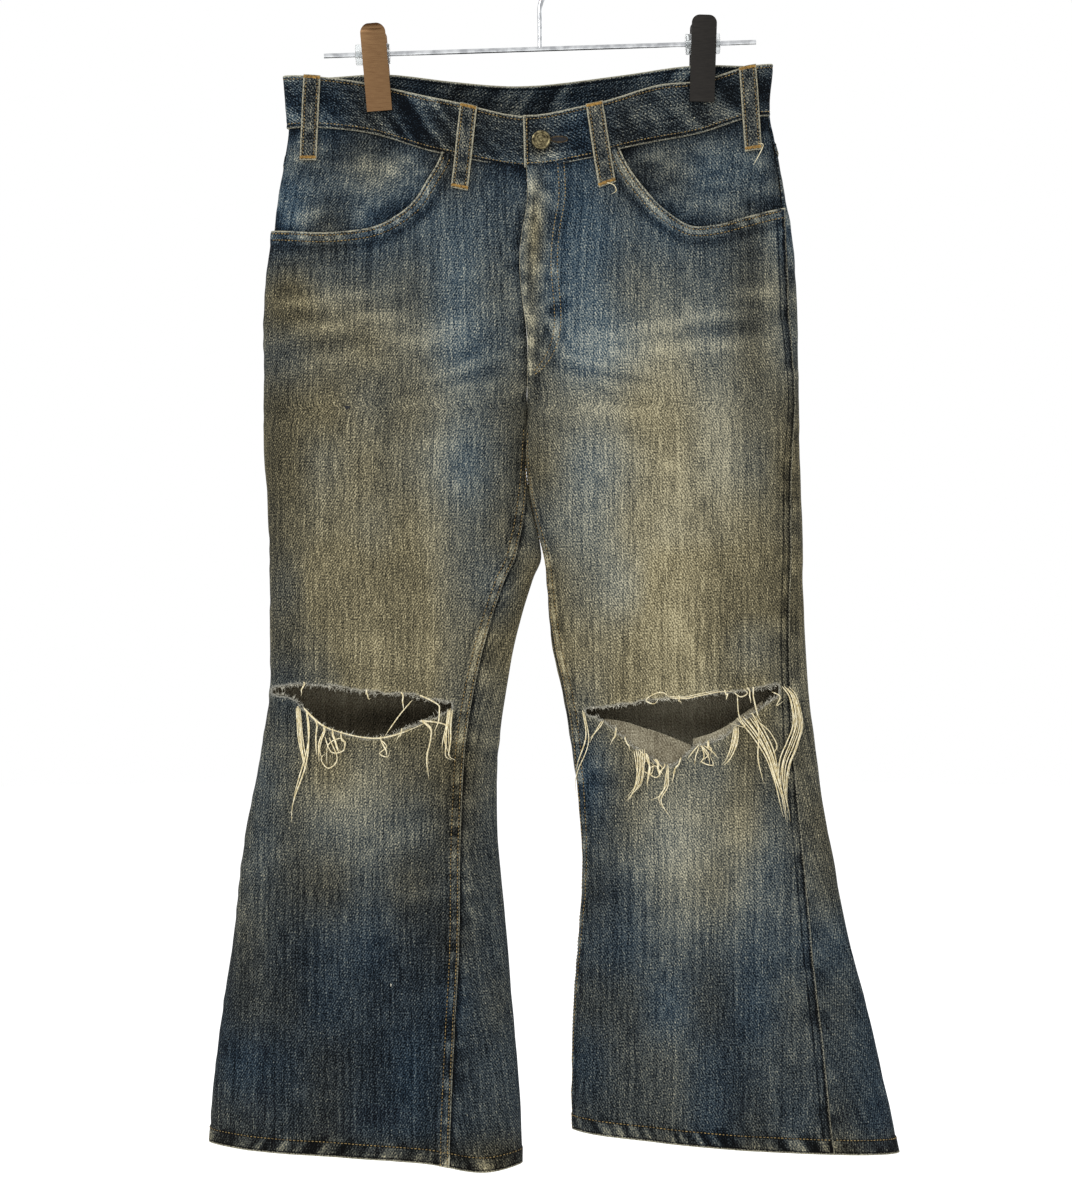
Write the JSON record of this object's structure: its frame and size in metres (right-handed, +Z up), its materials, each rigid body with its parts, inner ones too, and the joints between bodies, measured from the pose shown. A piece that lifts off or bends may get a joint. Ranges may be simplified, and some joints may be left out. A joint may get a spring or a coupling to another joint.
{
  "type": "flared jeans on a clip hanger",
  "caption": "Faded, ripped flared denim jeans with scoop pockets and a buttoned fly, hung flat by the waistband from a clip hanger.",
  "frame": {"origin": "the point inside the hanger's hook that rests on the rail", "axes": "+Z up, +X towards the viewer's right (the wearer's left), and the front of the jeans faces -Y"},
  "size_m": [0.6044, 0.0908, 1.079],
  "materials": {
    "denim": "faded slubby indigo twill",
    "waistband_denim": "faded indigo twill with worn pale edges",
    "denim_inside": "pale inside of denim twill",
    "loop_denim": "worn grey-beige denim",
    "zip": "dull",
    "button_metal": "antique",
    "loose_thread": "cream cotton yarn",
    "hanger_wire": "bright",
    "clip_bronze": "brushed bronze",
    "clip_dark": "brushed dark grey",
    "clip_hub": "clear"
  },
  "bodies": {
    "root": {"front_right": "denim", "front_left": "denim", "back_right": "denim", "back_left": "denim", "yoke_right": "denim", "yoke_left": "denim", "pocket_facing_right": "denim", "pocket_facing_left": "denim", "back_pocket_right": "denim", "back_pocket_left": "denim", "waistband": "waistband_denim", "fly_shield": "denim_inside", "zip": "zip", "belt_loop_1": "loop_denim", "belt_loop_2": "loop_denim", "belt_loop_3": "loop_denim", "belt_loop_4": "loop_denim", "belt_loop_5": "loop_denim", "belt_loop_6": "loop_denim", "belt_loop_7": "loop_denim", "button": "button_metal", "fray_right_top": "loose_thread", "fray_right_bottom": "loose_thread", "fray_left_top": "loose_thread", "fray_left_bottom": "loose_thread", "hanger": "hanger_wire", "clip_right_front": "clip_bronze", "clip_right_back": "clip_bronze", "clip_right_hub": "clip_hub", "clip_left_front": "clip_dark", "clip_left_back": "clip_dark", "clip_left_hub": "clip_hub"}
  },
  "joints": []
}
